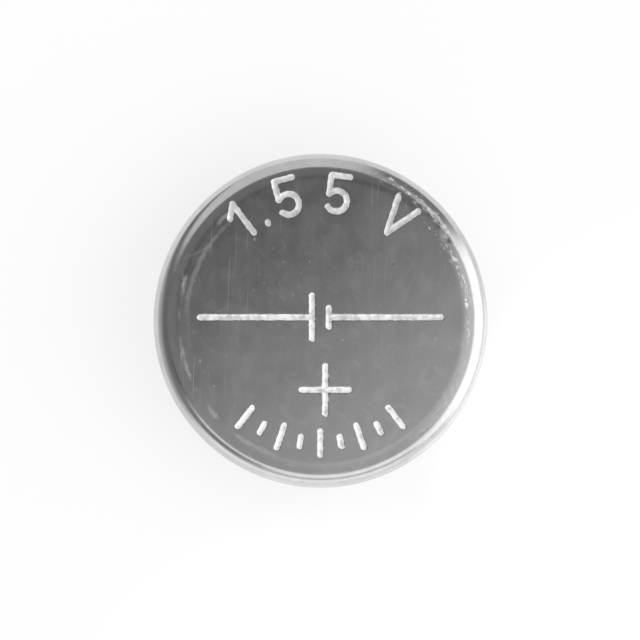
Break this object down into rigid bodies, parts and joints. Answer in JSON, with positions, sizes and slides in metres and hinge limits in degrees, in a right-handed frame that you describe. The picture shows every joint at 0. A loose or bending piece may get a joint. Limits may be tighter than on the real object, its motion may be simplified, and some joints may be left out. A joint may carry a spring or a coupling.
{
  "type": "silver oxide button cell",
  "caption": "Round silver oxide button cell with a crimped steel can, a raised negative cap and a stamped positive face.",
  "frame": {"origin": "centre of the negative cap's outer face, which is the lowest point", "axes": "+Z along the cell's axis and out of the positive face; +Y is up for the marks stamped on that face"},
  "size_m": [0.0068, 0.0068, 0.0026],
  "materials": {
    "can_metal": "nickel-plated, satin",
    "cap_metal": "nickel-clad, satin",
    "nylon": "natural nylon",
    "silver_oxide": "pressed powder",
    "sleeve_metal": "nickel-plated, dull",
    "film": "cellophane laminate",
    "absorbent": "non-woven felt",
    "zinc_gel": "metal powder in gel"
  },
  "bodies": {
    "root": {"positive_can": "can_metal", "negative_cap": "cap_metal", "sealing_gasket": "nylon", "cathode_pellet": "silver_oxide", "cathode_sleeve": "sleeve_metal", "barrier_film": "film", "absorbent_disc": "absorbent", "zinc_anode": "zinc_gel"}
  },
  "joints": []
}
